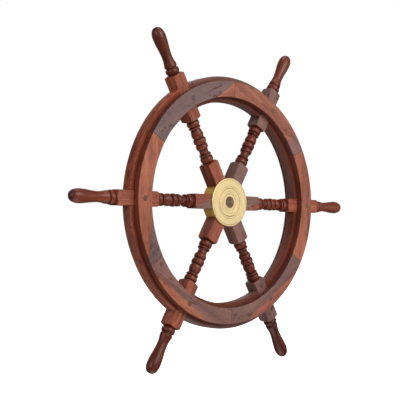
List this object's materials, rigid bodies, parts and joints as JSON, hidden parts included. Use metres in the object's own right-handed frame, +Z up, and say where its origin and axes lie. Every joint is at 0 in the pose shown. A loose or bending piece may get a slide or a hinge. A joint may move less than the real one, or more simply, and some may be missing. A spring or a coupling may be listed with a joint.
{
  "type": "ship steering wheel",
  "caption": "Wooden ship's steering wheel with turned spokes and handles, a stepped laminated rim and a brass hub that turns on a bush.",
  "frame": {"origin": "centre of the wheel on the axis of the hub bore, midway through the depth of the spokes", "axes": "+Y along the shaft axis towards the back of the wheel, front plate faces -Y, +Z up, two spokes lie along X"},
  "size_m": [0.9144, 0.0594, 0.7962],
  "materials": {
    "spoke_wood": "lacquered",
    "facing_wood": "satin lacquer",
    "rim_wood": "lacquered",
    "plug_wood": "satin lacquer",
    "plate_brass": "turned and polished",
    "hub_brass": "turned",
    "bush_metal": "bearing bronze, dull bore"
  },
  "bodies": {
    "bush": {"hub_bush": "bush_metal"},
    "wheel": {"spoke_1": "spoke_wood", "spoke_2": "spoke_wood", "spoke_3": "spoke_wood", "spoke_4": "spoke_wood", "spoke_5": "spoke_wood", "spoke_6": "spoke_wood", "front_felloe_1": "facing_wood", "front_felloe_2": "facing_wood", "front_felloe_3": "facing_wood", "front_felloe_4": "facing_wood", "front_felloe_5": "facing_wood", "front_felloe_6": "facing_wood", "middle_felloe_1": "rim_wood", "middle_felloe_2": "rim_wood", "middle_felloe_3": "rim_wood", "middle_felloe_4": "rim_wood", "middle_felloe_5": "rim_wood", "middle_felloe_6": "rim_wood", "rear_felloe_1": "facing_wood", "rear_felloe_2": "facing_wood", "rear_felloe_3": "facing_wood", "rear_felloe_4": "facing_wood", "rear_felloe_5": "facing_wood", "rear_felloe_6": "facing_wood", "front_plugs": "plug_wood", "hub_front_plate": "plate_brass", "hub_rear_plate": "hub_brass", "hub_segments": "hub_brass", "rear_screws": "hub_brass"}
  },
  "joints": [
    {"name": "wheel_spin", "type": "hinge", "parent": "bush", "child": "wheel", "pos_m": [0, 0, 0], "axis": [0, 1, 0], "continuous": true}
  ]
}
